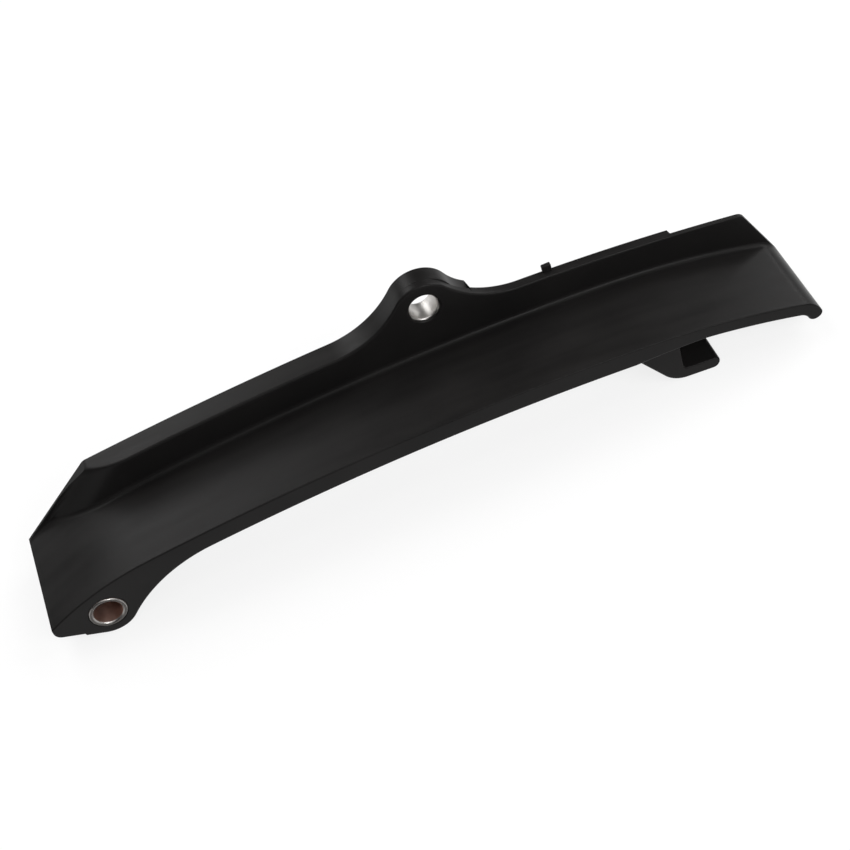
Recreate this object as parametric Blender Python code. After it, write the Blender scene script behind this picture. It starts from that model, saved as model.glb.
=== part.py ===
"""Timing chain guide: a rail moulded in black plastic, with two pressed-in steel sleeves.

All sizes are in metres. They are measured from the axis of the lower hole, at the rail's near side:
X runs along the rail, Y across it to the back of the side wall, and Z is up. At the end the pieces
are moved together, so that the middle of the underside lies at the origin.
"""
import math

import bmesh
import bpy
from mathutils import Matrix, Vector

# Running face, seen from the near side: arcs that fall away from a crest and join without a kink
CREST_X = 0.0890
CREST_Z = 0.0159
CREST_RADIUS = 0.710
LEAD_START_X = 0.0150
LEAD_RADIUS = 0.074
LEFT_END_X = -0.01545
TAIL_START_X = 0.1580
TAIL_RADIUS = 0.220
NOSE_START_X = 0.2035
NOSE_RADIUS = 0.0079
NOSE_FALL = math.radians(71)
NOSE_WALL_FALL = math.radians(64)
NOSE_TIP_RADIUS = 0.0013

# Running plate
RAIL_WIDTH = 0.0274
PLATE = 0.0060
TAIL_PLATE = 0.0042
PLATE_THIN_START_X = 0.1550
PLATE_THIN_END_X = 0.1760
NEAR_TOP_ROUND = 0.0004
NEAR_LOW_ROUND = 0.0008

# Side wall along the back of the running face
WALL_HEIGHT = 0.01005
WALL_CREST_X = 0.0950
WALL_LEFT_RADIUS = 0.880
WALL_RIGHT_RADIUS = 0.575
WEB = 0.0031
RIM_DEPTH = 0.0076
RIM_END_X = 0.1229
TAIL_WALL = 0.0015
WEB_END_X = 0.1820
THICKNESS_STEP = 0.0004
FOOT_FILLET = 0.0016
WALL_FRONT_ROUND = 0.0007
WALL_BACK_ROUND = 0.0005
WALL_CORNER_RADIUS = 0.0022
LEFT_CORNER_TURN = math.radians(34)
RIGHT_CORNER_TURN = math.radians(53)
LEFT_END_RISE = math.radians(39.5)
RIGHT_END_LEAN = math.radians(25.9)
LEAN_SPAN = 0.060
FLARE_RISE = math.radians(49)
FLARE_START = 0.0090
FLARE_RADIUS = 0.0112
FLARE_LIP = 0.0008

# Lower boss, with its flat toe towards the left end
BOSS_RADIUS = 0.0082
BOSS_BLEND_RADIUS = 0.0395
TOE_RISE = math.radians(22.5)
TOE_STEP_X = -0.0082
TOE_STEP = 0.0006
TOE_CORNER_RADIUS = 0.0026

# Ear with the upper hole; its front layer is a little smaller than the boss behind
UPPER_HOLE_X = 0.1088
UPPER_HOLE_Z = 0.0308
EAR_RADIUS = 0.0093
EAR_SHIFT = 0.0002
EAR_DROP = 0.0012
EAR_FRONT_RADIUS = 0.0090
EAR_FRONT_DEPTH = 0.0022
EAR_BLEND_LEFT = 0.0270
EAR_BLEND_RIGHT = 0.0160
EAR_FRONT_BLEND_RIGHT = 0.0270

# Steel sleeves, the same bore and wall in both holes
SLEEVE_BORE_RADIUS = 0.0040
SLEEVE_WALL = 0.0012
SLEEVE_CHAMFER = 0.00025
SLEEVE_PROUD = 0.0002
UPPER_SLEEVE_SET_BACK = 0.0006
SEAT_CLEARANCE = 0.0003
SEAT_CHAMFER = 0.0003

# Hook under the right-hand part: a leg and a foot, open towards the right
HOOK_NEAR_Y = 0.0020
HOOK_FAR_Y = 0.0250
HOOK_LEG_X = 0.1600
HOOK_LEG_WIDTH = 0.0080
HOOK_LEG_SLOPE = math.radians(56)
HOOK_FOOT_END_X = 0.1784
HOOK_FOOT = 0.0035
HOOK_FOOT_FALL = math.radians(6)
HOOK_ROOT_RADIUS = 0.0025
HOOK_HEEL_RADIUS = 0.0085
HOOK_TOE_RADIUS = 0.0020
HOOK_TIP_RADIUS = 0.0012
HOOK_INNER_RADIUS = 0.0010
HOOK_EDGE_ROUND = 0.0004

# Peg on the wall's top edge
PEG_X = 0.1439
PEG_WIDTH = 0.0027
PEG_DEPTH = 0.0014
PEG_HEIGHT = 0.0023

# Pockets behind the wall and under the plate, with ribs between them
RIB = 0.0022
RIM_HEIGHT = 0.0030
BACK_POCKETS_FROM_X = 0.0165
BACK_POCKETS_TO_X = 0.0935
BACK_POCKETS = 4
EAR_POCKET_HALF_WIDTH = 0.0100
EAR_POCKET_GAP = 0.0020
UNDER_SKIN = 0.0036
UNDER_POCKETS_FROM_X = 0.0400
UNDER_POCKETS_TO_X = 0.1520
UNDER_POCKETS = 6
UNDER_NEAR_Y = 0.0035
UNDER_FAR_Y = 0.0262
POCKET_CORNER_RADIUS = 0.0012

# Fineness of the round forms
ROUND_SIDES = 48
EDGE_STEPS = 2
FILLET_STEPS = 4
FAR_SPACING = 0.0080
MIDDLE_SPACING = 0.0025
CLOSE_SPACING = 0.0014

SLEEVE_RADIUS = SLEEVE_BORE_RADIUS + SLEEVE_WALL
SEAT_RADIUS = SLEEVE_RADIUS + SEAT_CLEARANCE
BACK_Y = RAIL_WIDTH + RIM_DEPTH


def plastic_material():
    material = bpy.data.materials.new("black_plastic")
    material.use_nodes = True
    shader = material.node_tree.nodes["Principled BSDF"]
    shader.inputs["Base Color"].default_value = (0.012, 0.012, 0.013, 1.0)
    shader.inputs["Roughness"].default_value = 0.42
    shader.inputs["Metallic"].default_value = 0.0
    return material


def steel_material():
    material = bpy.data.materials.new("sleeve_steel")
    material.use_nodes = True
    shader = material.node_tree.nodes["Principled BSDF"]
    shader.inputs["Base Color"].default_value = (0.56, 0.55, 0.53, 1.0)
    shader.inputs["Roughness"].default_value = 0.28
    shader.inputs["Metallic"].default_value = 1.0
    return material


def mesh_object(name, bm, material):
    """Make an object from a bmesh, with faces pointing out and round faces shaded smooth."""
    bmesh.ops.recalc_face_normals(bm, faces=bm.faces)
    mesh = bpy.data.meshes.new(name)
    bm.to_mesh(mesh)
    bm.free()
    mesh.shade_smooth()
    mesh.set_sharp_from_angle(angle=math.radians(35))
    if material:
        mesh.materials.append(material)
    obj = bpy.data.objects.new(name, mesh)
    bpy.context.scene.collection.objects.link(obj)
    return obj


def tool_object(name, bm):
    """Make a solid that only joins or cuts another one and is not a piece itself."""
    obj = mesh_object(name, bm, None)
    obj.hide_render = True
    obj.display_type = "WIRE"
    return obj


def combine(target, tool, operation):
    modifier = target.modifiers.new(tool.name, "BOOLEAN")
    modifier.operation = operation
    modifier.object = tool


def prism(bm, outline, near_y, far_y):
    """Extrude a closed outline of (x, z) points across the rail; return its new faces."""
    corners = [bm.verts.new((x, near_y, z)) for x, z in outline]
    cap = bm.faces.new(corners)
    grown = bmesh.ops.extrude_face_region(bm, geom=[cap], use_keep_orig=True)["geom"]
    moved = [item for item in grown if isinstance(item, bmesh.types.BMVert)]
    bmesh.ops.translate(bm, verts=moved, vec=(0.0, far_y - near_y, 0.0))
    return corners, moved


def arc(centre, radius, start, end, steps):
    """Points on an arc in the XZ plane, both ends included."""
    points = []
    for step in range(steps + 1):
        angle = start + (end - start) * step / steps
        points.append((centre[0] + radius * math.cos(angle), centre[1] + radius * math.sin(angle)))
    return points


def circles_meet(centre_a, radius_a, centre_b, radius_b, side):
    """The point where two circles cross; side +1 is left of the way from a to b, and -1 is right."""
    a = Vector(centre_a)
    b = Vector(centre_b)
    way = b - a
    gap = way.length
    along = (radius_a ** 2 - radius_b ** 2 + gap ** 2) / (2 * gap)
    off = math.sqrt(radius_a ** 2 - along ** 2)
    way.normalize()
    return a + way * along + Vector((-way.y, way.x)) * off * side


def spread(start, end, spacing):
    """Evenly spaced values from start up to, but without, end."""
    count = max(1, math.ceil((end - start) / spacing))
    return [start + (end - start) * k / count for k in range(count)]


def running_face(x):
    """Height of the running face at x, and the angle by which it falls towards +X there."""
    side = 1.0 if x >= CREST_X else -1.0
    reach = abs(x - CREST_X)
    if side > 0:
        arcs = ((TAIL_START_X - CREST_X, CREST_RADIUS), (math.inf, TAIL_RADIUS))
    else:
        arcs = ((CREST_X - LEAD_START_X, CREST_RADIUS), (math.inf, LEAD_RADIUS))
    height = CREST_Z
    fall = 0.0
    passed = 0.0
    for end, radius in arcs:
        run = min(reach, end) - passed
        turned = math.asin(math.sin(fall) + run / radius)
        height -= radius * (math.cos(fall) - math.cos(turned))
        fall = turned
        passed += run
        if passed >= reach:
            break
    return height, fall * side


class TopLine:
    """The wall's top edge in the XZ plane: two long arcs, and the ear with its two hollow blends."""

    def __init__(self, front):
        crest = CREST_Z + WALL_HEIGHT
        left = Vector((WALL_CREST_X, crest - WALL_LEFT_RADIUS))
        right = Vector((WALL_CREST_X, crest - WALL_RIGHT_RADIUS))
        ear = Vector((UPPER_HOLE_X + EAR_SHIFT, UPPER_HOLE_Z - EAR_DROP))
        radius = EAR_RADIUS
        hollow = EAR_FRONT_BLEND_RIGHT if front else EAR_BLEND_RIGHT
        blend = circles_meet(left, WALL_LEFT_RADIUS + EAR_BLEND_LEFT, ear, radius + EAR_BLEND_LEFT, 1)
        to_blend = (blend - ear).normalized()
        touch_left = ear + to_blend * radius
        if front:
            radius = EAR_FRONT_RADIUS
            ear = touch_left - to_blend * radius
        after = circles_meet(right, WALL_RIGHT_RADIUS + hollow, ear, radius + hollow, -1)
        touch_right = ear + (after - ear).normalized() * radius
        self.blend_start = (left + (blend - left).normalized() * WALL_LEFT_RADIUS).x
        self.blend_end = (right + (after - right).normalized() * WALL_RIGHT_RADIUS).x
        self.stretches = (
            (self.blend_start, left, WALL_LEFT_RADIUS, 1),
            (touch_left.x, blend, EAR_BLEND_LEFT, -1),
            (touch_right.x, ear, radius, 1),
            (self.blend_end, after, hollow, -1),
            (math.inf, right, WALL_RIGHT_RADIUS, 1),
        )

    def height(self, x):
        for end, centre, radius, side in self.stretches:
            if x <= end:
                break
        return centre.y + side * math.sqrt(radius ** 2 - (x - centre.x) ** 2)


FRONT_TOP = TopLine(front=True)
BACK_TOP = TopLine(front=False)


def toe_line(x):
    """The straight underside left of the boss, without its step."""
    touch_x = -BOSS_RADIUS * math.sin(TOE_RISE)
    touch_z = -BOSS_RADIUS * math.cos(TOE_RISE)
    return touch_z + (touch_x - x) * math.tan(TOE_RISE)


def boss_blend():
    """Centre of the hollow blend between the boss and the plate's underside."""
    crest = (CREST_X, CREST_Z - CREST_RADIUS)
    inner = CREST_RADIUS - PLATE - BOSS_BLEND_RADIUS
    return circles_meet(crest, inner, (0.0, 0.0), BOSS_RADIUS + BOSS_BLEND_RADIUS, -1)


BLEND = boss_blend()
BLEND_START_X = BLEND.x * BOSS_RADIUS / BLEND.length
BLEND_END_X = CREST_X + (BLEND.x - CREST_X) * (CREST_RADIUS - PLATE) / (CREST_RADIUS - PLATE - BOSS_BLEND_RADIUS)


def underside(x):
    """Height of the rail's underside at x, from the toe to where the plate grows thinner."""
    toe_end = -BOSS_RADIUS * math.sin(TOE_RISE)
    if x < toe_end:
        step = TOE_STEP if x < TOE_STEP_X else 0.0
        return toe_line(x) + step
    if x < BLEND_START_X:
        return -math.sqrt(BOSS_RADIUS ** 2 - x ** 2)
    if x < BLEND_END_X:
        return BLEND.y + math.sqrt(BOSS_BLEND_RADIUS ** 2 - (x - BLEND.x) ** 2)
    height, fall = running_face(x)
    return height - PLATE / math.cos(fall)


def wall_face(point):
    """Y of the wall's inner face: flat, and bent back in a flare near the wall's top left corner."""
    corner_x = LEFT_END_X + left_lean()
    from_corner = Vector((point.x - corner_x, point.y - FRONT_TOP.height(corner_x)))
    inward = from_corner.x * math.sin(FLARE_RISE) - from_corner.y * math.cos(FLARE_RISE)
    depth = RIM_DEPTH - FLARE_LIP
    span = math.sqrt(FLARE_RADIUS ** 2 - (FLARE_RADIUS - depth) ** 2)
    bent = min(max(FLARE_START - inward, 0.0), span)
    return RAIL_WIDTH + FLARE_RADIUS - math.sqrt(FLARE_RADIUS ** 2 - bent ** 2)


def back_face(x):
    """Y of the rail's back: the deep rim, then the plain wall, then the thin tail."""
    if x < RIM_END_X - THICKNESS_STEP / 2:
        return BACK_Y
    if x < WEB_END_X - THICKNESS_STEP / 2:
        return RAIL_WIDTH + WEB
    return RAIL_WIDTH + TAIL_WALL


def left_lean():
    """How far the wall's top corner lies in from the plate's left end."""
    height, _ = running_face(LEFT_END_X)
    lean = 0.0
    for _ in range(12):
        drop = WALL_CORNER_RADIUS * (1 - math.cos(LEFT_CORNER_TURN))
        lean = (FRONT_TOP.height(LEFT_END_X + lean) - drop - height) / math.tan(LEFT_END_RISE)
    return lean


def right_corner(nose):
    """Where the wall's slanted right end, drawn up from the nose, reaches the top corner."""
    corner = nose.x
    for _ in range(12):
        drop = WALL_CORNER_RADIUS * (1 - math.cos(RIGHT_CORNER_TURN))
        corner = nose.x - (FRONT_TOP.height(corner) - drop - nose.y) * math.tan(RIGHT_END_LEAN)
    return corner


def station_places():
    """The face point, underside point and way along the rail of each section, left to right."""
    places = []
    corner_x = LEFT_END_X + TOE_CORNER_RADIUS
    corner_z = toe_line(corner_x) + TOE_STEP + TOE_CORNER_RADIUS / math.cos(TOE_RISE)
    corner_end = math.pi / 2 - TOE_RISE
    for step in range(4):
        angle = corner_end * step / 4
        x = corner_x - TOE_CORNER_RADIUS * math.cos(angle)
        low = Vector((x, corner_z - TOE_CORNER_RADIUS * math.sin(angle)))
        places.append((Vector((x, running_face(x)[0])), low, x))
    step_half = TOE_STEP / 8
    stretches = (
        (corner_x - TOE_CORNER_RADIUS * math.cos(corner_end), TOE_STEP_X - step_half, MIDDLE_SPACING),
        (TOE_STEP_X - step_half, TOE_STEP_X + step_half, 1.0),
        (TOE_STEP_X + step_half, -BOSS_RADIUS * math.sin(TOE_RISE), MIDDLE_SPACING),
        (-BOSS_RADIUS * math.sin(TOE_RISE), BLEND_START_X, CLOSE_SPACING),
        (BLEND_START_X, BLEND_END_X, MIDDLE_SPACING),
        (BLEND_END_X, BACK_TOP.blend_start, FAR_SPACING),
        (BACK_TOP.blend_start, RIM_END_X - THICKNESS_STEP, CLOSE_SPACING),
        (RIM_END_X - THICKNESS_STEP, RIM_END_X, 1.0),
        (RIM_END_X, FRONT_TOP.blend_end, CLOSE_SPACING),
        (FRONT_TOP.blend_end, PLATE_THIN_START_X, FAR_SPACING),
        (PLATE_THIN_START_X, WEB_END_X - THICKNESS_STEP, FAR_SPACING),
        (WEB_END_X - THICKNESS_STEP, WEB_END_X, 1.0),
        (WEB_END_X, NOSE_START_X, MIDDLE_SPACING),
    )
    for start, end, spacing in stretches:
        for x in spread(start, end, spacing):
            height, fall = running_face(x)
            thin = min(max((x - PLATE_THIN_START_X) / (PLATE_THIN_END_X - PLATE_THIN_START_X), 0.0), 1.0)
            thickness = PLATE + (TAIL_PLATE - PLATE) * thin
            if thin > 0.0:
                tilt = fall * thin
                low = Vector((x - thickness * math.sin(tilt), height - thickness * math.cos(tilt)))
            else:
                low = Vector((x, underside(x)))
            places.append((Vector((x, height)), low, x))
    return places + nose_places(running_face(NOSE_START_X)[1], NOSE_WALL_FALL, 6)


def nose_places(start, end, steps):
    """Stations on the nose, where the face curls down, from one angle of fall to another."""
    height, fall = running_face(NOSE_START_X)
    places = []
    for step in range(steps + 1):
        turned = start + (end - start) * step / steps
        face = Vector((
            NOSE_START_X + NOSE_RADIUS * (math.sin(turned) - math.sin(fall)),
            height - NOSE_RADIUS * (math.cos(fall) - math.cos(turned)),
        ))
        outward = Vector((math.sin(turned), math.cos(turned)))
        along = NOSE_START_X + NOSE_RADIUS * (turned - fall)
        places.append((face, face - outward * TAIL_PLATE, along))
    return places


def tip_places():
    """The plate's own end beyond the wall: the last of the nose, and its rounded edge."""
    places = [place[:2] for place in nose_places(NOSE_WALL_FALL, NOSE_FALL, 2)[1:]]
    face, low = places[-1]
    outward = (face - low).normalized()
    onward = Vector((outward.y, -outward.x))
    for step in range(1, 4):
        angle = math.pi / 2 * step / 3
        ahead = onward * NOSE_TIP_RADIUS * math.sin(angle)
        inset = outward * NOSE_TIP_RADIUS * (1 - math.cos(angle))
        places.append((face + ahead - inset, low + ahead + inset))
    return places


def toward(start, end, distance):
    way = end - start
    return start + way * (distance / way.length)


def corner_drop(x, left, right):
    """How far the wall's rounded top corners lie below its top line."""
    from_left = left + WALL_CORNER_RADIUS * math.sin(LEFT_CORNER_TURN) - x
    from_right = x - right + WALL_CORNER_RADIUS * math.sin(RIGHT_CORNER_TURN)
    into = max(from_left, from_right, 0.0)
    return WALL_CORNER_RADIUS - math.sqrt(WALL_CORNER_RADIUS ** 2 - into ** 2)


def section(face, low, top_front, top_back):
    """The rail's section at one station, as a closed loop that starts at the near lower edge."""
    loop = []
    plate = (face - low).length
    low_round = min(NEAR_LOW_ROUND, plate * 0.4)
    top_round = min(NEAR_TOP_ROUND, plate * 0.4)
    turns = [math.pi / 2 * step / EDGE_STEPS for step in range(EDGE_STEPS + 1)]
    fillet_turns = [math.pi / 2 * step / FILLET_STEPS for step in range(FILLET_STEPS + 1)]
    back = back_face(face.x)

    def add(y, point):
        loop.append((point.x, y, point.y))

    for turn in turns:
        add(low_round * (1 - math.sin(turn)), toward(low, face, low_round * (1 - math.cos(turn))))
    for turn in turns:
        add(top_round * (1 - math.cos(turn)), toward(face, low, top_round * (1 - math.sin(turn))))
    add(RAIL_WIDTH / 2, face)
    for turn in fillet_turns:
        point = toward(face, top_front, FOOT_FILLET * (1 - math.cos(turn)))
        add(wall_face(point) - FOOT_FILLET * (1 - math.sin(turn)), point)
    for share in (0.4, 0.7):
        point = face.lerp(top_front, share)
        add(wall_face(point), point)
    wall_top = wall_face(top_front)
    thickness = back - wall_top
    front_round = min(WALL_FRONT_ROUND, thickness * 0.35)
    back_round = min(WALL_BACK_ROUND, thickness * 0.35)
    for turn in turns:
        add(wall_top + front_round * (1 - math.cos(turn)), toward(top_front, face, front_round * (1 - math.sin(turn))))
    ledge = EAR_FRONT_DEPTH / RIM_DEPTH * thickness
    add(wall_top + max(ledge, front_round * 1.1), top_front)
    add(wall_top + max(ledge, front_round * 1.1) + thickness * 0.05, top_back)
    for turn in turns:
        add(back - back_round * (1 - math.sin(turn)), toward(top_back, face, back_round * (1 - math.cos(turn))))
    add(back, face)
    for turn in turns:
        add(back - back_round * (1 - math.cos(turn)), toward(low, face, back_round * (1 - math.sin(turn))))
    return loop


def rail_sections():
    """The sections with the wall on them, and those of the plate's tip."""
    places = station_places()
    first = places[0][2]
    last = places[-1][2]
    corner_left = first + left_lean()
    corner_right = right_corner(places[-1][0])
    sections = []
    for face, low, along in places:
        from_left = min((along - first) / LEAN_SPAN, 1.0)
        from_right = min((last - along) / LEAN_SPAN, 1.0)
        x = along + (corner_left - first) * (1 - from_left) ** 2 + (corner_right - last) * (1 - from_right) ** 2
        drop = corner_drop(x, corner_left, corner_right)
        top_front = Vector((x, FRONT_TOP.height(x) - drop))
        behind = BACK_TOP if along < RIM_END_X - THICKNESS_STEP / 2 else FRONT_TOP
        top_back = Vector((x, behind.height(x) - drop))
        sections.append(section(face, low, top_front, top_back))
    tips = [section(face, low, top_front, top_back) for face, low in tip_places()]
    return sections, tips


def extend(bm, loop, points):
    """Sweep a loop of vertices on to the next points; return the new loop."""
    edges = []
    for index in range(len(loop)):
        pair = (loop[index - 1], loop[index])
        edges.append(bm.edges.get(pair) or bm.edges.new(pair))
    grown = bmesh.ops.extrude_edge_only(bm, edges=edges)["geom"]
    fresh = {item for item in grown if isinstance(item, bmesh.types.BMVert)}
    following = []
    for vert in loop:
        twin = next(edge.other_vert(vert) for edge in vert.link_edges if edge.other_vert(vert) in fresh)
        following.append(twin)
    for vert, point in zip(following, points):
        vert.co = point
    return following


def swept_rail(sections, tips):
    """Sweep the section from the left end to the nose, and its plate alone round the tip."""
    bm = bmesh.new()
    loop = [bm.verts.new(point) for point in sections[0]]
    foot = 2 * (EDGE_STEPS + 1) + 1
    behind = len(loop) - (EDGE_STEPS + 1) - 1
    bm.faces.new(loop[:foot + 1] + loop[behind:])
    bm.faces.new(loop[foot:behind + 1])
    for points in sections[1:]:
        loop = extend(bm, loop, points)
    bm.faces.new(loop[foot:behind + 1])
    loop = loop[:foot + 1] + loop[behind:]
    for points in tips:
        loop = extend(bm, loop, points[:foot + 1] + points[behind:])
    bm.faces.new(loop)
    return bm


def hook_root(lean):
    """The hollow round between the plate's underside and the hook's leg."""
    sunk = 0.00005
    x = HOOK_LEG_X
    for _ in range(12):
        height, fall = running_face(x)
        level = height - PLATE / math.cos(fall) + sunk
        x = HOOK_LEG_X - level * lean
    reach = HOOK_ROOT_RADIUS * math.tan((HOOK_LEG_SLOPE - fall) / 2)
    start = Vector((x - reach * math.cos(fall), level + reach * math.sin(fall)))
    centre = start - Vector((math.sin(fall), math.cos(fall))) * HOOK_ROOT_RADIUS
    return arc(centre, HOOK_ROOT_RADIUS, math.pi / 2 - fall, math.pi / 2 - HOOK_LEG_SLOPE, 3)


def hook_outline():
    """Leg and foot of the hook, seen from the near side."""
    _, fall = running_face(HOOK_LEG_X)
    slope = math.tan(HOOK_FOOT_FALL)
    upright = math.cos(HOOK_FOOT_FALL)
    toe = Vector((HOOK_FOOT_END_X - HOOK_TOE_RADIUS, HOOK_TOE_RADIUS - BOSS_RADIUS))

    def bottom(x):
        return toe.y - HOOK_TOE_RADIUS / upright + (toe.x - x) * slope

    def top(x):
        return bottom(x) + HOOK_FOOT / upright

    buried = running_face(HOOK_LEG_X)[0] - PLATE * 0.6
    lean = math.tan(math.pi / 2 - HOOK_LEG_SLOPE)
    heel_x = HOOK_LEG_X
    for _ in range(30):
        heel_z = bottom(heel_x) + HOOK_HEEL_RADIUS / upright
        heel_x = HOOK_LEG_X - heel_z * lean + HOOK_HEEL_RADIUS / math.sin(HOOK_LEG_SLOPE)
    shin_angle = -math.pi / 2 - HOOK_LEG_SLOPE
    sole_angle = -math.pi / 2 - HOOK_FOOT_FALL
    inner_x = HOOK_LEG_X + HOOK_LEG_WIDTH
    corner_x = inner_x + HOOK_INNER_RADIUS
    corner = (corner_x, top(corner_x) + HOOK_INNER_RADIUS / upright)
    tip_x = HOOK_FOOT_END_X - HOOK_TIP_RADIUS
    tip = (tip_x, top(tip_x) - HOOK_TIP_RADIUS / upright)
    root = hook_root(lean)
    points = [(root[0][0], buried)] + root
    points += arc((heel_x, heel_z), HOOK_HEEL_RADIUS, shin_angle, sole_angle, 7)
    points += arc(toe, HOOK_TOE_RADIUS, sole_angle, 0.0, 4)
    points += arc(tip, HOOK_TIP_RADIUS, 0.0, math.pi / 2 - HOOK_FOOT_FALL, 3)
    points += arc(corner, HOOK_INNER_RADIUS, sole_angle, -math.pi, 3)
    points.append((inner_x, buried - math.tan(fall) * HOOK_LEG_WIDTH))
    return points


def hook_solid():
    bm = bmesh.new()
    near, far = prism(bm, hook_outline(), HOOK_NEAR_Y, HOOK_FAR_Y)
    rims = {edge for vert in near + far for edge in vert.link_edges if edge.verts[0].co.y == edge.verts[1].co.y}
    bmesh.ops.bevel(bm, geom=list(rims), offset=HOOK_EDGE_ROUND, segments=2, profile=0.5, affect="EDGES", material=-1)
    return tool_object("hook", bm)


def peg_solid():
    bm = bmesh.new()
    back = RAIL_WIDTH + WEB
    base = FRONT_TOP.height(PEG_X)
    box = Matrix.Translation((PEG_X, back - PEG_DEPTH / 2, base)) @ Matrix.Diagonal((PEG_WIDTH, PEG_DEPTH, 2 * PEG_HEIGHT, 1))
    bmesh.ops.create_cube(bm, size=1.0, matrix=box)
    bmesh.ops.bevel(bm, geom=bm.edges[:], offset=PEG_WIDTH / 8, segments=1, profile=0.5, affect="EDGES", material=-1)
    return tool_object("peg", bm)


def turned(name, outline, centre, material):
    """Spin a closed outline of (y, radius) points round the Y axis, and place it on its hole."""
    bm = bmesh.new()
    verts = [bm.verts.new((0.0, y, radius)) for y, radius in outline]
    edges = [bm.edges.new((verts[k - 1], verts[k])) for k in range(len(verts))]
    bmesh.ops.spin(bm, geom=verts + edges, cent=(0.0, 0.0, 0.0), axis=(0.0, 1.0, 0.0),
                   angle=math.tau, steps=ROUND_SIDES, use_merge=True)
    obj = mesh_object(name, bm, material)
    obj.location = (centre[0], 0.0, centre[1])
    return obj


def sleeve(name, centre, near_y, far_y, material):
    cut = SLEEVE_CHAMFER
    outline = (
        (near_y, SLEEVE_BORE_RADIUS + cut),
        (near_y, SLEEVE_RADIUS - cut),
        (near_y + cut, SLEEVE_RADIUS),
        (far_y - cut, SLEEVE_RADIUS),
        (far_y, SLEEVE_RADIUS - cut),
        (far_y, SLEEVE_BORE_RADIUS + cut),
        (far_y - cut, SLEEVE_BORE_RADIUS),
        (near_y + cut, SLEEVE_BORE_RADIUS),
    )
    return turned(name, outline, centre, material)


def seat_cutter(name, centre, near_y, far_y):
    """A round plug for a sleeve's hole, wider at both ends so that the hole's rims are chamfered."""
    beyond = 0.0020
    widths = (
        (near_y - beyond, SEAT_RADIUS + SEAT_CHAMFER + beyond),
        (near_y + SEAT_CHAMFER, SEAT_RADIUS),
        (far_y - SEAT_CHAMFER, SEAT_RADIUS),
        (far_y + beyond, SEAT_RADIUS + SEAT_CHAMFER + beyond),
    )
    bm = bmesh.new()
    turn = Matrix.Translation((centre[0], widths[0][0], centre[1])) @ Matrix.Rotation(math.pi / 2, 4, "X")
    bmesh.ops.create_circle(bm, cap_ends=True, segments=ROUND_SIDES, radius=widths[0][1], matrix=turn)
    rim = bm.edges[:]
    for (y_before, before), (y_after, after) in zip(widths, widths[1:]):
        grown = bmesh.ops.extrude_edge_only(bm, edges=rim)["geom"]
        verts = [item for item in grown if isinstance(item, bmesh.types.BMVert)]
        rim = [item for item in grown if isinstance(item, bmesh.types.BMEdge)]
        rim = [edge for edge in rim if edge.verts[0] in verts and edge.verts[1] in verts]
        middle = Matrix.Translation((-centre[0], 0.0, -centre[1]))
        scale = after / before
        bmesh.ops.scale(bm, verts=verts, vec=(scale, 1.0, scale), space=middle)
        bmesh.ops.translate(bm, verts=verts, vec=(0.0, y_after - y_before, 0.0))
    bmesh.ops.holes_fill(bm, edges=rim, sides=0)
    return tool_object(name, bm)


def add_pocket(bm, start, end, low, high, near_y, far_y):
    """One pocket between two ribs, with rounded corners."""
    places = spread(start, end, FAR_SPACING) + [end]
    outline = [(x, low(x)) for x in places] + [(x, high(x)) for x in reversed(places)]
    near, far = prism(bm, outline, near_y, far_y)
    count = len(places)
    corners = []
    for index in (0, count - 1, count, 2 * count - 1):
        corners += [edge for edge in near[index].link_edges if abs(edge.other_vert(near[index]).co.y - near_y) > 0.0001]
    bmesh.ops.bevel(bm, geom=corners, offset=POCKET_CORNER_RADIUS, segments=2, profile=0.5,
                    affect="EDGES", material=-1)


def pocket_bays(start, end, count):
    pitch = (end - start + RIB) / count
    return [(start + k * pitch, start + (k + 1) * pitch - RIB) for k in range(count)]


def pocket_cutters():
    """Pockets in the back of the rim and in the plate's underside, between their ribs."""
    behind = bmesh.new()
    beyond = 0.0020

    def floor_line(x):
        return running_face(x)[0] - PLATE + RIM_HEIGHT

    def rim_line(x):
        return BACK_TOP.height(x) - RIM_HEIGHT

    for start, end in pocket_bays(BACK_POCKETS_FROM_X, BACK_POCKETS_TO_X, BACK_POCKETS):
        add_pocket(behind, start, end, floor_line, rim_line, RAIL_WIDTH + WEB, BACK_Y + beyond)

    def ear_line(x):
        return UPPER_HOLE_Z - EAR_RADIUS - EAR_POCKET_GAP

    ear_start = UPPER_HOLE_X - EAR_POCKET_HALF_WIDTH
    ear_end = UPPER_HOLE_X + EAR_POCKET_HALF_WIDTH
    add_pocket(behind, ear_start, ear_end, floor_line, ear_line, RAIL_WIDTH + WEB, BACK_Y + beyond)

    below = bmesh.new()

    def skin_line(x):
        return running_face(x)[0] - UNDER_SKIN

    def open_line(x):
        return running_face(x)[0] - PLATE - beyond

    for start, end in pocket_bays(UNDER_POCKETS_FROM_X, UNDER_POCKETS_TO_X, UNDER_POCKETS):
        add_pocket(below, start, end, open_line, skin_line, UNDER_NEAR_Y, UNDER_FAR_Y)
    return tool_object("back_pockets", behind), tool_object("under_pockets", below)


def set_down(pieces):
    """Hold all pieces by one empty, so that the middle of their underside is at the origin."""
    corners = []
    bpy.context.view_layer.update()
    graph = bpy.context.evaluated_depsgraph_get()
    for piece in pieces:
        corners += [piece.location + vert.co for vert in piece.evaluated_get(graph).data.vertices]
    low = [min(corner[axis] for corner in corners) for axis in range(3)]
    high = [max(corner[axis] for corner in corners) for axis in range(3)]
    holder = bpy.data.objects.new("timing_chain_guide", None)
    bpy.context.scene.collection.objects.link(holder)
    shift = Vector((-(low[0] + high[0]) / 2, -(low[1] + high[1]) / 2, -low[2]))
    for obj in bpy.context.scene.objects:
        if obj != holder:
            obj.location += shift
            obj.parent = holder


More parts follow.
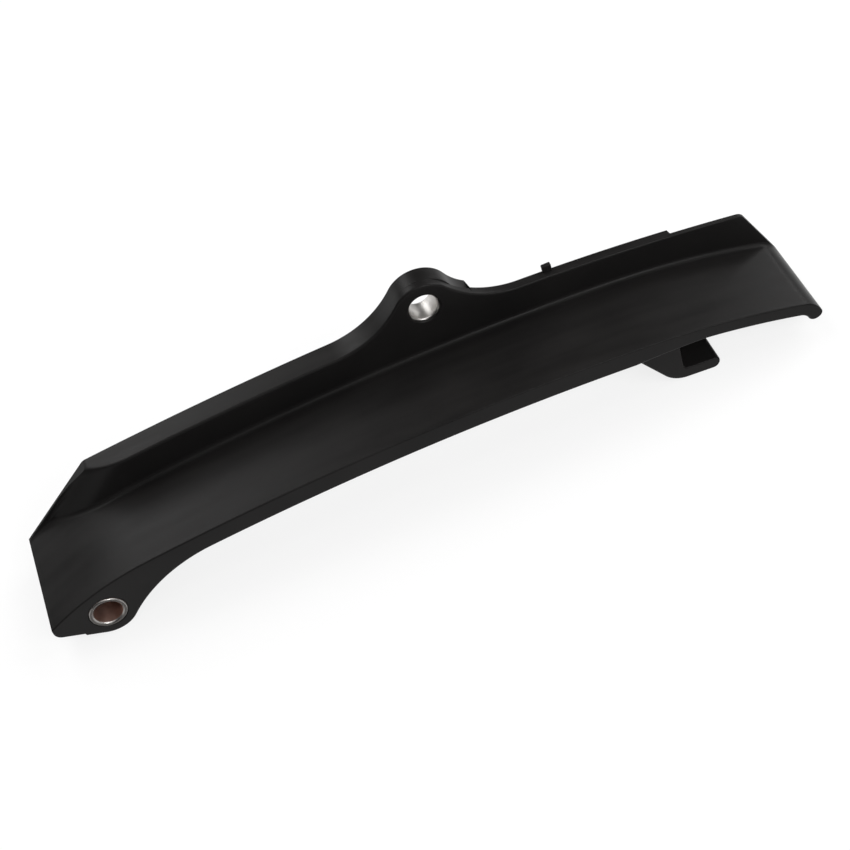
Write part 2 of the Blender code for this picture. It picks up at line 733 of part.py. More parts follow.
def build():
    for obj in list(bpy.data.objects):
        bpy.data.objects.remove(obj, do_unlink=True)
    plastic = plastic_material()
    steel = steel_material()
    rail = mesh_object("guide_rail", swept_rail(*rail_sections()), plastic)
    combine(rail, hook_solid(), "UNION")
    combine(rail, peg_solid(), "UNION")
    for cutter in pocket_cutters():
        combine(rail, cutter, "DIFFERENCE")
    lower = (0.0, 0.0)
    upper = (UPPER_HOLE_X, UPPER_HOLE_Z)
    combine(rail, seat_cutter("lower_seat", lower, 0.0, BACK_Y), "DIFFERENCE")
    combine(rail, seat_cutter("upper_seat", upper, RAIL_WIDTH, BACK_Y), "DIFFERENCE")
    lower_sleeve = sleeve("lower_sleeve", lower, -SLEEVE_PROUD, BACK_Y + SLEEVE_PROUD, steel)
    upper_near = RAIL_WIDTH + UPPER_SLEEVE_SET_BACK
    upper_sleeve = sleeve("upper_sleeve", upper, upper_near, BACK_Y + SLEEVE_PROUD, steel)
    set_down((rail, lower_sleeve, upper_sleeve))


build()
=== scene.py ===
import math

import bmesh
import bpy
from mathutils import Matrix, Vector


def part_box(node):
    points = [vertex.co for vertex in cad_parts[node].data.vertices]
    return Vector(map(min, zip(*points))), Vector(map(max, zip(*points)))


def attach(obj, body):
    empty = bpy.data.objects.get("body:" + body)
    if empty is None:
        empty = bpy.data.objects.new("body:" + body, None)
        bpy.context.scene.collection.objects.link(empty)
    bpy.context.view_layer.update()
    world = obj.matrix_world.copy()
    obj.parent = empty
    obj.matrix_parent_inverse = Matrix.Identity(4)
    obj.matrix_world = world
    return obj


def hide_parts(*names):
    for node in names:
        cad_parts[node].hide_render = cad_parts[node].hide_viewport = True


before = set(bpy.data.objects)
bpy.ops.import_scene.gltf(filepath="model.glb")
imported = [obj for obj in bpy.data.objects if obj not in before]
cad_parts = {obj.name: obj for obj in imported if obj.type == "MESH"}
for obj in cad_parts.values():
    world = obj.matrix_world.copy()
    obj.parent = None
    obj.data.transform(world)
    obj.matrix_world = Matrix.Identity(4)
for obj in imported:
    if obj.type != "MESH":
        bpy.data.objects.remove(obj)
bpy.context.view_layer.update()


# Guide rail. One moulding in glass-filled black nylon: a curved running plate for the chain, a
# side wall with the ear for the upper bolt, a boss for the lower one, and a hook and a peg that
# locate the guide. It is moulded in one shot, and pockets and ribs keep its walls even.

# Running face, seen from the near side: arcs that fall away from a crest and join without a kink
CREST_X = 0.0890
CREST_Z = 0.0159
CREST_RADIUS = 0.710
LEAD_START_X = 0.0150
LEAD_RADIUS = 0.074
LEFT_END_X = -0.01545
TAIL_START_X = 0.1580
TAIL_RADIUS = 0.220
NOSE_START_X = 0.2035
NOSE_RADIUS = 0.0079
NOSE_FALL = math.radians(71)
NOSE_WALL_FALL = math.radians(64)
NOSE_TIP_RADIUS = 0.0013

# Running plate
RAIL_WIDTH = 0.0274
PLATE = 0.0060
TAIL_PLATE = 0.0042
PLATE_THIN_START_X = 0.1550
PLATE_THIN_END_X = 0.1760
NEAR_TOP_ROUND = 0.00045
NEAR_LOW_ROUND = 0.00080

# Side wall
WALL_HEIGHT = 0.01005
WALL_CREST_X = 0.0950
WALL_LEFT_RADIUS = 0.880
WALL_RIGHT_RADIUS = 0.575
WEB = 0.0031
RIM_DEPTH = 0.0076
RIM_END_X = 0.1225
TAIL_WALL = 0.0015
WEB_END_X = 0.1820
THICKNESS_STEP = 0.0004
FOOT_FILLET = 0.0016
WALL_FRONT_ROUND = 0.0007
WALL_BACK_ROUND = 0.0005
WALL_CORNER_RADIUS = 0.0022
LEFT_CORNER_TURN = math.radians(34)
RIGHT_CORNER_TURN = math.radians(53)
LEFT_END_RISE = math.radians(39.5)
RIGHT_END_LEAN = math.radians(25.9)
LEAN_SPAN = 0.060
FLARE_RISE = math.radians(49)
FLARE_START = 0.0090
FLARE_RADIUS = 0.0112
FLARE_LIP = 0.0008

# Lower boss and its flat toe
BOSS_RADIUS = 0.0082
BOSS_BLEND_RADIUS = 0.0395
TOE_RISE = math.radians(22.5)
TOE_STEP_X = -0.0082
TOE_STEP = 0.0006
TOE_STEP_RUN = TOE_STEP / 4
TOE_CORNER_RADIUS = 0.0026

# Ear with the upper hole
UPPER_HOLE_X = 0.1088
UPPER_HOLE_Z = 0.0308
EAR_RADIUS = 0.0093
EAR_SHIFT = 0.0002
EAR_DROP = 0.0012
EAR_FRONT_RADIUS = 0.0090
EAR_FRONT_DEPTH = 0.0022
EAR_BLEND_LEFT = 0.0270
EAR_BLEND_RIGHT = 0.0160
EAR_FRONT_BLEND_RIGHT = 0.0270
RISER_ROUND = 0.00025

# Steps of each round of the section, and shares of its straights at which it has points
LOW_ROUND_STEPS = 5
TOP_ROUND_STEPS = 4
FACE_SHARES = (0.1, 0.3, 0.5, 0.7, 0.9)
FILLET_STEPS = 8
WALL_SHARES = (0.35, 0.55, 0.75, 0.88)
FRONT_ROUND_STEPS = 5
RISER_STEPS = 3
BACK_ROUND_STEPS = 4
BACK_SHARES = (0.3, 0.6)

# Steps of the rounds at the rail's two ends
TOE_CORNER_STEPS = 10
NOSE_STEPS = 14
NOSE_END_STEPS = 4
NOSE_TIP_STEPS = 6

# The largest share of the plate's or the wall's thickness that one round may take
PLATE_ROUND_SHARE = 0.4
WALL_ROUND_SHARE = 0.35
RISER_ROUND_SHARE = 0.1

# The step up to the ear: its lean, how far its ledge goes past the front round, its least height
RISER_LEAN_SHARE = 0.02
LEDGE_PAST_ROUND = 1.1
LEAST_RISE = 0.00001

# Rounds of trial for a place that depends on its own result, and the gap that welding closes
SETTLING_ROUNDS = 12
WELD_DISTANCE = 0.0000005

BACK_Y = RAIL_WIDTH + RIM_DEPTH
TOE_END_X = -BOSS_RADIUS * math.sin(TOE_RISE)


def circles_meet(centre_a, radius_a, centre_b, radius_b, side):
    """Where two circles cross; side +1 is left of the way from a to b, and -1 is right."""
    way = centre_b - centre_a
    gap = way.length
    along = (radius_a ** 2 - radius_b ** 2 + gap ** 2) / (2 * gap)
    off = math.sqrt(radius_a ** 2 - along ** 2)
    way.normalize()
    return centre_a + way * along + Vector((-way.y, way.x)) * off * side


def running_face(x):
    """Height of the running face at x, and the angle by which it falls towards +X there."""
    side = 1.0 if x >= CREST_X else -1.0
    reach = abs(x - CREST_X)
    if side > 0:
        arcs = ((TAIL_START_X - CREST_X, CREST_RADIUS), (math.inf, TAIL_RADIUS))
    else:
        arcs = ((CREST_X - LEAD_START_X, CREST_RADIUS), (math.inf, LEAD_RADIUS))
    height = CREST_Z
    fall = 0.0
    passed = 0.0
    for end, radius in arcs:
        run = min(reach, end) - passed
        turned = math.asin(math.sin(fall) + run / radius)
        height -= radius * (math.cos(fall) - math.cos(turned))
        fall = turned
        passed += run
        if passed >= reach:
            break
    return height, fall * side


def top_edge(ear_radius, hollow_right):
    """The wall's top edge as arcs, left to right: long arc, hollow, ear, hollow, long arc."""
    crest = CREST_Z + WALL_HEIGHT
    left = Vector((WALL_CREST_X, crest - WALL_LEFT_RADIUS))
    right = Vector((WALL_CREST_X, crest - WALL_RIGHT_RADIUS))
    ear = Vector((UPPER_HOLE_X + EAR_SHIFT, UPPER_HOLE_Z - EAR_DROP))
    blend = circles_meet(left, WALL_LEFT_RADIUS + EAR_BLEND_LEFT,
                         ear, EAR_RADIUS + EAR_BLEND_LEFT, 1)
    to_blend = (blend - ear).normalized()
    touch = ear + to_blend * EAR_RADIUS
    ear = touch - to_blend * ear_radius
    after = circles_meet(right, WALL_RIGHT_RADIUS + hollow_right,
                         ear, ear_radius + hollow_right, -1)
    leave = ear + (after - ear).normalized() * ear_radius
    start = left + (blend - left).normalized() * WALL_LEFT_RADIUS
    end = right + (after - right).normalized() * WALL_RIGHT_RADIUS
    return (
        (start.x, left, WALL_LEFT_RADIUS, 1),
        (touch.x, blend, EAR_BLEND_LEFT, -1),
        (leave.x, ear, ear_radius, 1),
        (end.x, after, hollow_right, -1),
        (math.inf, right, WALL_RIGHT_RADIUS, 1),
    )


FRONT_TOP = top_edge(EAR_FRONT_RADIUS, EAR_FRONT_BLEND_RIGHT)
BACK_TOP = top_edge(EAR_RADIUS, EAR_BLEND_RIGHT)


def top_height(edge, x):
    """Height at x of a top edge made of arcs."""
    centre, radius, side = next(arc[1:] for arc in edge if x <= arc[0])
    return centre.y + side * math.sqrt(radius ** 2 - (x - centre.x) ** 2)


def toe_line(x):
    """The straight underside left of the boss, without its step."""
    return (TOE_END_X - x) * math.tan(TOE_RISE) - BOSS_RADIUS * math.cos(TOE_RISE)


UNDER_RADIUS = CREST_RADIUS - PLATE
BLEND = circles_meet(Vector((CREST_X, CREST_Z - CREST_RADIUS)), UNDER_RADIUS - BOSS_BLEND_RADIUS,
                     Vector((0.0, 0.0)), BOSS_RADIUS + BOSS_BLEND_RADIUS, -1)
BLEND_START_X = BLEND.x * BOSS_RADIUS / BLEND.length
BLEND_END_X = CREST_X + (BLEND.x - CREST_X) * UNDER_RADIUS / (UNDER_RADIUS - BOSS_BLEND_RADIUS)


def underside(x):
    """Height of the rail's underside at x: toe, boss, hollow blend, then the plate."""
    if x < TOE_END_X:
        return toe_line(x) + (TOE_STEP if x < TOE_STEP_X else 0.0)
    if x < BLEND_START_X:
        return -math.sqrt(BOSS_RADIUS ** 2 - x ** 2)
    if x < BLEND_END_X:
        return BLEND.y + math.sqrt(BOSS_BLEND_RADIUS ** 2 - (x - BLEND.x) ** 2)
    height, fall = running_face(x)
    return height - PLATE / math.cos(fall)


START_HEIGHT = running_face(LEFT_END_X)[0]
LEFT_DROP = WALL_CORNER_RADIUS * (1 - math.cos(LEFT_CORNER_TURN))
RIGHT_DROP = WALL_CORNER_RADIUS * (1 - math.cos(RIGHT_CORNER_TURN))
corner_left = LEFT_END_X
for _ in range(SETTLING_ROUNDS):
    rise = top_height(FRONT_TOP, corner_left) - LEFT_DROP - START_HEIGHT
    corner_left = LEFT_END_X + rise / math.tan(LEFT_END_RISE)
FLARE_SPAN = math.sqrt(FLARE_RADIUS ** 2 - (FLARE_RADIUS - RIM_DEPTH + FLARE_LIP) ** 2)


def wall_face(point):
    """Y of the wall's inner face: flat, but bent back in a flare at its top left corner."""
    across = (point.x - corner_left) * math.sin(FLARE_RISE)
    down = (point.y - top_height(FRONT_TOP, corner_left)) * math.cos(FLARE_RISE)
    bent = min(max(FLARE_START - across + down, 0.0), FLARE_SPAN)
    return RAIL_WIDTH + FLARE_RADIUS - math.sqrt(FLARE_RADIUS ** 2 - bent ** 2)


def back_face(x):
    """Y of the rail's back: the deep rim, then the plain wall, then the thin tail."""
    if x < RIM_END_X - THICKNESS_STEP / 2:
        return BACK_Y
    if x < WEB_END_X - THICKNESS_STEP / 2:
        return RAIL_WIDTH + WEB
    return RAIL_WIDTH + TAIL_WALL


def spread(start, end, spacing):
    """Evenly spaced values from start up to, but without, end."""
    count = max(1, math.ceil((end - start) / spacing))
    return [start + (end - start) * k / count for k in range(count)]


def nose_places(start, end, steps):
    """Stations on the nose, where the face curls down, from one angle of fall to another."""
    height, fall = running_face(NOSE_START_X)
    places = []
    for step in range(steps + 1):
        turned = start + (end - start) * step / steps
        face = Vector((
            NOSE_START_X + NOSE_RADIUS * (math.sin(turned) - math.sin(fall)),
            height - NOSE_RADIUS * (math.cos(fall) - math.cos(turned)),
        ))
        outward = Vector((math.sin(turned), math.cos(turned)))
        along = NOSE_START_X + NOSE_RADIUS * (turned - fall)
        places.append((face, face - outward * TAIL_PLATE, along))
    return places


def station_places():
    """The face point, underside point and way along the rail of each section, left to right."""
    places = []
    corner_x = LEFT_END_X + TOE_CORNER_RADIUS
    corner_z = toe_line(corner_x) + TOE_STEP + TOE_CORNER_RADIUS / math.cos(TOE_RISE)
    corner_end = math.pi / 2 - TOE_RISE
    for step in range(TOE_CORNER_STEPS):
        angle = corner_end * step / TOE_CORNER_STEPS
        x = corner_x - TOE_CORNER_RADIUS * math.cos(angle)
        low = Vector((x, corner_z - TOE_CORNER_RADIUS * math.sin(angle)))
        places.append((Vector((x, running_face(x)[0])), low, x))
    step_half = TOE_STEP_RUN / 2

    # Each stretch with the spacing of its stations; a leap is wider than any stretch
    leap = 1.0
    stretches = (
        (corner_x - TOE_CORNER_RADIUS * math.cos(corner_end), TOE_STEP_X - step_half, 0.0005),
        (TOE_STEP_X - step_half, TOE_STEP_X + step_half, leap),
        (TOE_STEP_X + step_half, TOE_END_X, 0.0006),
        (TOE_END_X, BLEND_START_X, 0.0005),
        (BLEND_START_X, BLEND_END_X, 0.0010),
        (BLEND_END_X, BACK_TOP[0][0], 0.0025),
        (BACK_TOP[0][0], RIM_END_X - THICKNESS_STEP, 0.0006),
        (RIM_END_X - THICKNESS_STEP, RIM_END_X, leap),
        (RIM_END_X, FRONT_TOP[3][0], 0.0008),
        (FRONT_TOP[3][0], PLATE_THIN_START_X, 0.0025),
        (PLATE_THIN_START_X, WEB_END_X - THICKNESS_STEP, 0.0020),
        (WEB_END_X - THICKNESS_STEP, WEB_END_X, leap),
        (WEB_END_X, NOSE_START_X, 0.0015),
    )
    for start, end, spacing in stretches:
        for x in spread(start, end, spacing):
            height, fall = running_face(x)
            thin = (x - PLATE_THIN_START_X) / (PLATE_THIN_END_X - PLATE_THIN_START_X)
            thin = min(max(thin, 0.0), 1.0)
            thickness = PLATE + (TAIL_PLATE - PLATE) * thin
            if thin > 0.0:
                tilt = fall * thin
                low = Vector((x - thickness * math.sin(tilt), height - thickness * math.cos(tilt)))
            else:
                low = Vector((x, underside(x)))
            places.append((Vector((x, height)), low, x))
    return places + nose_places(running_face(NOSE_START_X)[1], NOSE_WALL_FALL, NOSE_STEPS)


def quarter(radius, steps):
    """Offsets (in, along) of a quarter round, from its start to its end."""
    turns = [math.pi / 2 * step / steps for step in range(steps + 1)]
    return [(radius * (1 - math.sin(turn)), radius * (1 - math.cos(turn))) for turn in turns]


def toward(start, end, distance):
    """The point at a distance from start on the way to end."""
    way = end - start
    return start + way * (distance / way.length)


def section(face, low, top_front, top_back):
    """The rail's section at one station, as a closed loop that starts at the near lower edge."""
    loop = []
    plate = (face - low).length
    low_round = min(NEAR_LOW_ROUND, plate * PLATE_ROUND_SHARE)
    top_round = min(NEAR_TOP_ROUND, plate * PLATE_ROUND_SHARE)
    back = back_face(face.x)

    def add(y, point):
        loop.append((point.x, y, point.y))

    for beside, along in quarter(low_round, LOW_ROUND_STEPS):
        add(beside, toward(low, face, along))
    for beside, along in quarter(top_round, TOP_ROUND_STEPS):
        add(along, toward(face, low, beside))
    for share in FACE_SHARES:
        add(top_round + (RAIL_WIDTH - FOOT_FILLET - top_round) * share, face)
    for beside, along in quarter(FOOT_FILLET, FILLET_STEPS):
        point = toward(face, top_front, along)
        add(wall_face(point) - beside, point)
    for share in WALL_SHARES:
        point = face.lerp(top_front, share)
        add(wall_face(point), point)
    wall_top = wall_face(top_front)
    thickness = back - wall_top
    front_round = min(WALL_FRONT_ROUND, thickness * WALL_ROUND_SHARE)
    back_round = min(WALL_BACK_ROUND, thickness * WALL_ROUND_SHARE)
    for beside, along in quarter(front_round, FRONT_ROUND_STEPS):
        add(wall_top + along, toward(top_front, face, beside))
    ledge = max(EAR_FRONT_DEPTH / RIM_DEPTH * thickness, front_round * LEDGE_PAST_ROUND)
    rise = max((top_back - top_front).length, LEAST_RISE)
    riser = min(RISER_ROUND, thickness * RISER_ROUND_SHARE, rise / 2)
    add(wall_top + ledge, top_front)
    for beside, along in quarter(riser, RISER_STEPS):
        point = top_back + (top_front - top_back) * (beside / rise)
        add(wall_top + ledge + thickness * RISER_LEAN_SHARE + along, point)
    for beside, along in quarter(back_round, BACK_ROUND_STEPS):
        add(back - beside, toward(top_back, face, along))
    for share in BACK_SHARES:
        add(back, top_back.lerp(face, share))
    add(back, face)
    for beside, along in quarter(back_round, BACK_ROUND_STEPS):
        add(back - along, toward(low, face, beside))
    return loop


# The last point of a section before the wall's foot, and the one level with it at the back
FOOT = LOW_ROUND_STEPS + TOP_ROUND_STEPS + len(FACE_SHARES) + 1
BACK_FOOT = -BACK_ROUND_STEPS - 2


def rail_sections():
    """The sections with the wall on them, and those of the plate's tip."""
    places = station_places()
    first = places[0][2]
    last = places[-1][2]
    end_face = places[-1][0]
    corner_right = end_face.x
    for _ in range(SETTLING_ROUNDS):
        rise = top_height(FRONT_TOP, corner_right) - RIGHT_DROP - end_face.y
        corner_right = end_face.x - rise * math.tan(RIGHT_END_LEAN)
    sections = []
    for face, low, along in places:
        from_left = min((along - first) / LEAN_SPAN, 1.0)
        from_right = min((last - along) / LEAN_SPAN, 1.0)
        x = along + (corner_left - first) * (1 - from_left) ** 2
        x += (corner_right - last) * (1 - from_right) ** 2
        past_left = corner_left + WALL_CORNER_RADIUS * math.sin(LEFT_CORNER_TURN) - x
        past_right = x - corner_right + WALL_CORNER_RADIUS * math.sin(RIGHT_CORNER_TURN)
        past = max(past_left, past_right, 0.0)
        drop = WALL_CORNER_RADIUS - math.sqrt(WALL_CORNER_RADIUS ** 2 - past ** 2)
        behind = BACK_TOP if along < RIM_END_X - THICKNESS_STEP / 2 else FRONT_TOP
        top_front = Vector((x, top_height(FRONT_TOP, x) - drop))
        top_back = Vector((x, top_height(behind, x) - drop))
        sections.append(section(face, low, top_front, top_back))
    tips = [place[:2] for place in nose_places(NOSE_WALL_FALL, NOSE_FALL, NOSE_END_STEPS)[1:]]
    face, low = tips[-1]
    outward = (face - low).normalized()
    onward = Vector((outward.y, -outward.x))
    for step in range(1, NOSE_TIP_STEPS + 1):
        angle = math.pi / 2 * step / NOSE_TIP_STEPS
        ahead = onward * NOSE_TIP_RADIUS * math.sin(angle)
        inset = outward * NOSE_TIP_RADIUS * (1 - math.cos(angle))
        tips.append((face + ahead - inset, low + ahead + inset))
    return sections, [section(face, low, top_front, top_back) for face, low in tips]


def sweep_on(bm, loop, points):
    """Sweep a loop of vertices on to the next points; return the new loop."""
    edges = []
    for pair in zip(loop[-1:] + loop[:-1], loop):
        edges.append(bm.edges.get(pair) or bm.edges.new(pair))
    grown = bmesh.ops.extrude_edge_only(bm, edges=edges)["geom"]
    fresh = {item for item in grown if isinstance(item, bmesh.types.BMVert)}
    following = []
    for vert in loop:
        joined = (edge.other_vert(vert) for edge in vert.link_edges)
        following.append(next(other for other in joined if other in fresh))
    for vert, point in zip(following, points):
        vert.co = point
    return following


def moulded_object(name, bm):
    """Weld the mesh, turn its faces outwards and make an object of it."""
    bmesh.ops.remove_doubles(bm, verts=bm.verts, dist=WELD_DISTANCE)
    bmesh.ops.recalc_face_normals(bm, faces=bm.faces)
    mesh = bpy.data.meshes.new(name)
    bm.to_mesh(mesh)
    bm.free()
    obj = bpy.data.objects.new(name, mesh)
    bpy.context.scene.collection.objects.link(obj)
    return obj


sections, tips = rail_sections()
bm = bmesh.new()
loop = [bm.verts.new(point) for point in sections[0]]
bm.faces.new(loop[:FOOT + 1] + loop[BACK_FOOT:])
bm.faces.new(loop[FOOT:BACK_FOOT + 1])
for points in sections[1:]:
    loop = sweep_on(bm, loop, points)
bm.faces.new(loop[FOOT:BACK_FOOT + 1])
loop = loop[:FOOT + 1] + loop[BACK_FOOT:]
for points in tips:
    loop = sweep_on(bm, loop, points[:FOOT + 1] + points[BACK_FOOT:])
bm.faces.new(loop)
guide_rail = moulded_object("guide_rail_moulding", bm)

# Its hook: a leg and a foot under the right-hand part, open towards the right
HOOK_NEAR_Y = 0.0020
HOOK_FAR_Y = 0.0250
HOOK_LEG_X = 0.1600
HOOK_LEG_WIDTH = 0.0080
HOOK_LEG_SLOPE = math.radians(56)
HOOK_FOOT_END_X = 0.1784
HOOK_FOOT = 0.0035
HOOK_FOOT_FALL = math.radians(6)
HOOK_ROOT_RADIUS = 0.0025
HOOK_HEEL_RADIUS = 0.0085
HOOK_TOE_RADIUS = 0.0020
HOOK_TIP_RADIUS = 0.0012
HOOK_INNER_RADIUS = 0.0010
HOOK_EDGE_ROUND = 0.0004
HOOK_SUNK_SHARE = 0.6
HOOK_ROOT_SUNK = 0.00005
HEEL_SETTLING_ROUNDS = 30


def arc(centre, radius, start, end, steps):
    """Points on an arc in the XZ plane, both ends included."""
    turns = [start + (end - start) * step / steps for step in range(steps + 1)]
    return [(centre[0] + radius * math.cos(turn), centre[1] + radius * math.sin(turn))
            for turn in turns]


def prism(bm, outline, near_y, far_y):
    """Extrude an outline of (x, z) points across the rail; return its near and far corners."""
    corners = [bm.verts.new((x, near_y, z)) for x, z in outline]
    cap = bm.faces.new(corners)
    grown = bmesh.ops.extrude_face_region(bm, geom=[cap], use_keep_orig=True)["geom"]
    moved = [item for item in grown if isinstance(item, bmesh.types.BMVert)]
    bmesh.ops.translate(bm, verts=moved, vec=(0.0, far_y - near_y, 0.0))
    return corners, moved


def round_edges(bm, edges, radius, steps):
    bmesh.ops.bevel(bm, geom=edges, offset=radius, segments=steps, profile=0.5,
                    affect="EDGES", material=-1)


def hook_root(lean):
    """The hollow round between the plate's underside and the hook's leg."""
    x = HOOK_LEG_X
    for _ in range(SETTLING_ROUNDS):
        height, fall = running_face(x)
        level = height - PLATE / math.cos(fall) + HOOK_ROOT_SUNK
        x = HOOK_LEG_X - level * lean
    reach = HOOK_ROOT_RADIUS * math.tan((HOOK_LEG_SLOPE - fall) / 2)
    start = Vector((x - reach * math.cos(fall), level + reach * math.sin(fall)))
    centre = start - Vector((math.sin(fall), math.cos(fall))) * HOOK_ROOT_RADIUS
    return arc(centre, HOOK_ROOT_RADIUS, math.pi / 2 - fall, math.pi / 2 - HOOK_LEG_SLOPE, steps=10)


def hook_outline():
    """Leg and foot of the hook, seen from the near side."""
    _, fall = running_face(HOOK_LEG_X)
    slope = math.tan(HOOK_FOOT_FALL)
    upright = math.cos(HOOK_FOOT_FALL)
    toe = Vector((HOOK_FOOT_END_X - HOOK_TOE_RADIUS, HOOK_TOE_RADIUS - BOSS_RADIUS))

    def bottom(x):
        return toe.y - HOOK_TOE_RADIUS / upright + (toe.x - x) * slope

    def top(x):
        return bottom(x) + HOOK_FOOT / upright

    buried = running_face(HOOK_LEG_X)[0] - PLATE * HOOK_SUNK_SHARE
    lean = math.tan(math.pi / 2 - HOOK_LEG_SLOPE)
    heel_x = HOOK_LEG_X
    for _ in range(HEEL_SETTLING_ROUNDS):
        heel_z = bottom(heel_x) + HOOK_HEEL_RADIUS / upright
        heel_x = HOOK_LEG_X - heel_z * lean + HOOK_HEEL_RADIUS / math.sin(HOOK_LEG_SLOPE)
    shin_angle = -math.pi / 2 - HOOK_LEG_SLOPE
    sole_angle = -math.pi / 2 - HOOK_FOOT_FALL
    inner_x = HOOK_LEG_X + HOOK_LEG_WIDTH
    corner_x = inner_x + HOOK_INNER_RADIUS
    corner = (corner_x, top(corner_x) + HOOK_INNER_RADIUS / upright)
    tip_x = HOOK_FOOT_END_X - HOOK_TIP_RADIUS
    tip = (tip_x, top(tip_x) - HOOK_TIP_RADIUS / upright)
    root = hook_root(lean)
    points = [(root[0][0], buried)] + root
    points += arc((heel_x, heel_z), HOOK_HEEL_RADIUS, shin_angle, sole_angle, steps=20)
    points += arc(toe, HOOK_TOE_RADIUS, sole_angle, 0.0, steps=10)
    points += arc(tip, HOOK_TIP_RADIUS, 0.0, math.pi / 2 - HOOK_FOOT_FALL, steps=8)
    points += arc(corner, HOOK_INNER_RADIUS, sole_angle, -math.pi, steps=8)
    points.append((inner_x, buried - math.tan(fall) * HOOK_LEG_WIDTH))
    return points


bm = bmesh.new()
near, far = prism(bm, hook_outline(), HOOK_NEAR_Y, HOOK_FAR_Y)
rims = {edge for vert in near + far for edge in vert.link_edges
        if edge.verts[0].co.y == edge.verts[1].co.y}
round_edges(bm, list(rims), HOOK_EDGE_ROUND, steps=4)
hook = moulded_object("hook_form", bm)

# Its peg on the wall's top edge
PEG_X = 0.1439
PEG_WIDTH = 0.0027
PEG_DEPTH = 0.0014
PEG_HEIGHT = 0.0023
PEG_ROUND = PEG_WIDTH / 8

bm = bmesh.new()
peg_y = RAIL_WIDTH + WEB - PEG_DEPTH / 2
peg_place = Matrix.Translation((PEG_X, peg_y, top_height(FRONT_TOP, PEG_X)))
peg_size = Matrix.Diagonal((PEG_WIDTH, PEG_DEPTH, 2 * PEG_HEIGHT, 1.0))
bmesh.ops.create_cube(bm, size=1.0, matrix=peg_place @ peg_size)
round_edges(bm, bm.edges[:], PEG_ROUND, steps=3)
peg = moulded_object("peg_form", bm)

# Its pockets behind the wall and under the plate, with ribs between them
RIB = 0.0022
RIM_HEIGHT = 0.0030
BACK_POCKETS_FROM_X = 0.0165
BACK_POCKETS_TO_X = 0.0935
BACK_POCKETS = 4
EAR_POCKET_HALF_WIDTH = 0.0100
EAR_POCKET_GAP = 0.0020
UNDER_SKIN = 0.0036
UNDER_POCKETS_FROM_X = 0.0400
UNDER_POCKETS_TO_X = 0.1520
UNDER_POCKETS = 6
UNDER_NEAR_Y = 0.0035
UNDER_FAR_Y = 0.0262
POCKET_CORNER_RADIUS = 0.0012
POCKET_SPACING = 0.0020
CUT_BEYOND = 0.0020


def add_pocket(bm, start, end, low, high, near_y, far_y):
    """One pocket between two ribs, with rounded corners."""
    places = spread(start, end, POCKET_SPACING) + [end]
    outline = [(x, low(x)) for x in places] + [(x, high(x)) for x in reversed(places)]
    near, far = prism(bm, outline, near_y, far_y)
    count = len(places)
    corners = []
    for corner in (near[0], near[count - 1], near[count], near[-1]):
        corners += [edge for edge in corner.link_edges if edge.other_vert(corner) in far]
    round_edges(bm, corners, POCKET_CORNER_RADIUS, steps=5)


def pocket_bays(start, end, count):
    """Start and end along X of each pocket between two ends, with a rib from one to the next."""
    pitch = (end - start + RIB) / count
    return [(start + k * pitch, start + (k + 1) * pitch - RIB) for k in range(count)]


def low_rim(x):
    """Height of the edge of the pockets behind the wall, above the rim along the plate."""
    return running_face(x)[0] - PLATE + RIM_HEIGHT


bm = bmesh.new()
for start, end in pocket_bays(BACK_POCKETS_FROM_X, BACK_POCKETS_TO_X, BACK_POCKETS):
    add_pocket(bm, start, end, low_rim, lambda x: top_height(BACK_TOP, x) - RIM_HEIGHT,
               RAIL_WIDTH + WEB, BACK_Y + CUT_BEYOND)
add_pocket(bm, UPPER_HOLE_X - EAR_POCKET_HALF_WIDTH, UPPER_HOLE_X + EAR_POCKET_HALF_WIDTH,
           low_rim, lambda x: UPPER_HOLE_Z - EAR_RADIUS - EAR_POCKET_GAP,
           RAIL_WIDTH + WEB, BACK_Y + CUT_BEYOND)
back_pockets = moulded_object("back_pocket_form", bm)
bm = bmesh.new()
for start, end in pocket_bays(UNDER_POCKETS_FROM_X, UNDER_POCKETS_TO_X, UNDER_POCKETS):
    add_pocket(bm, start, end, lambda x: running_face(x)[0] - PLATE - CUT_BEYOND,
               lambda x: running_face(x)[0] - UNDER_SKIN, UNDER_NEAR_Y, UNDER_FAR_Y)
under_pockets = moulded_object("under_pocket_form", bm)

# Its two round seats for the sleeves, chamfered at both rims
SLEEVE_BORE_RADIUS = 0.0040
SLEEVE_WALL = 0.0012
SEAT_CLEARANCE = 0.00004
SEAT_CHAMFER = 0.0003
UPPER_MOUTH_RADIUS = 0.00448
UPPER_LIP = 0.00025
SLEEVE_RADIUS = SLEEVE_BORE_RADIUS + SLEEVE_WALL
SEAT_RADIUS = SLEEVE_RADIUS + SEAT_CLEARANCE
LOWER_MOUTH_RADIUS = SEAT_RADIUS - 0.000005
LOWER_LIP = 0.0001
LIP_RUN = 0.00001
SEAT_SIDES = 96


def turned(name, outline, centre, sides, closed):
    """Spin an outline of (y, radius) points round the hole's axis through centre."""
    bm = bmesh.new()
    verts = [bm.verts.new((centre[0], y, centre[1] + radius)) for y, radius in outline]
    edges = [bm.edges.new((verts[k - 1], verts[k])) for k in range(0 if closed else 1, len(verts))]
    bmesh.ops.spin(bm, geom=verts + edges, cent=(centre[0], 0.0, centre[1]), axis=(0.0, 1.0, 0.0),
                   angle=math.tau, steps=sides, use_merge=True)
    return moulded_object(name, bm)


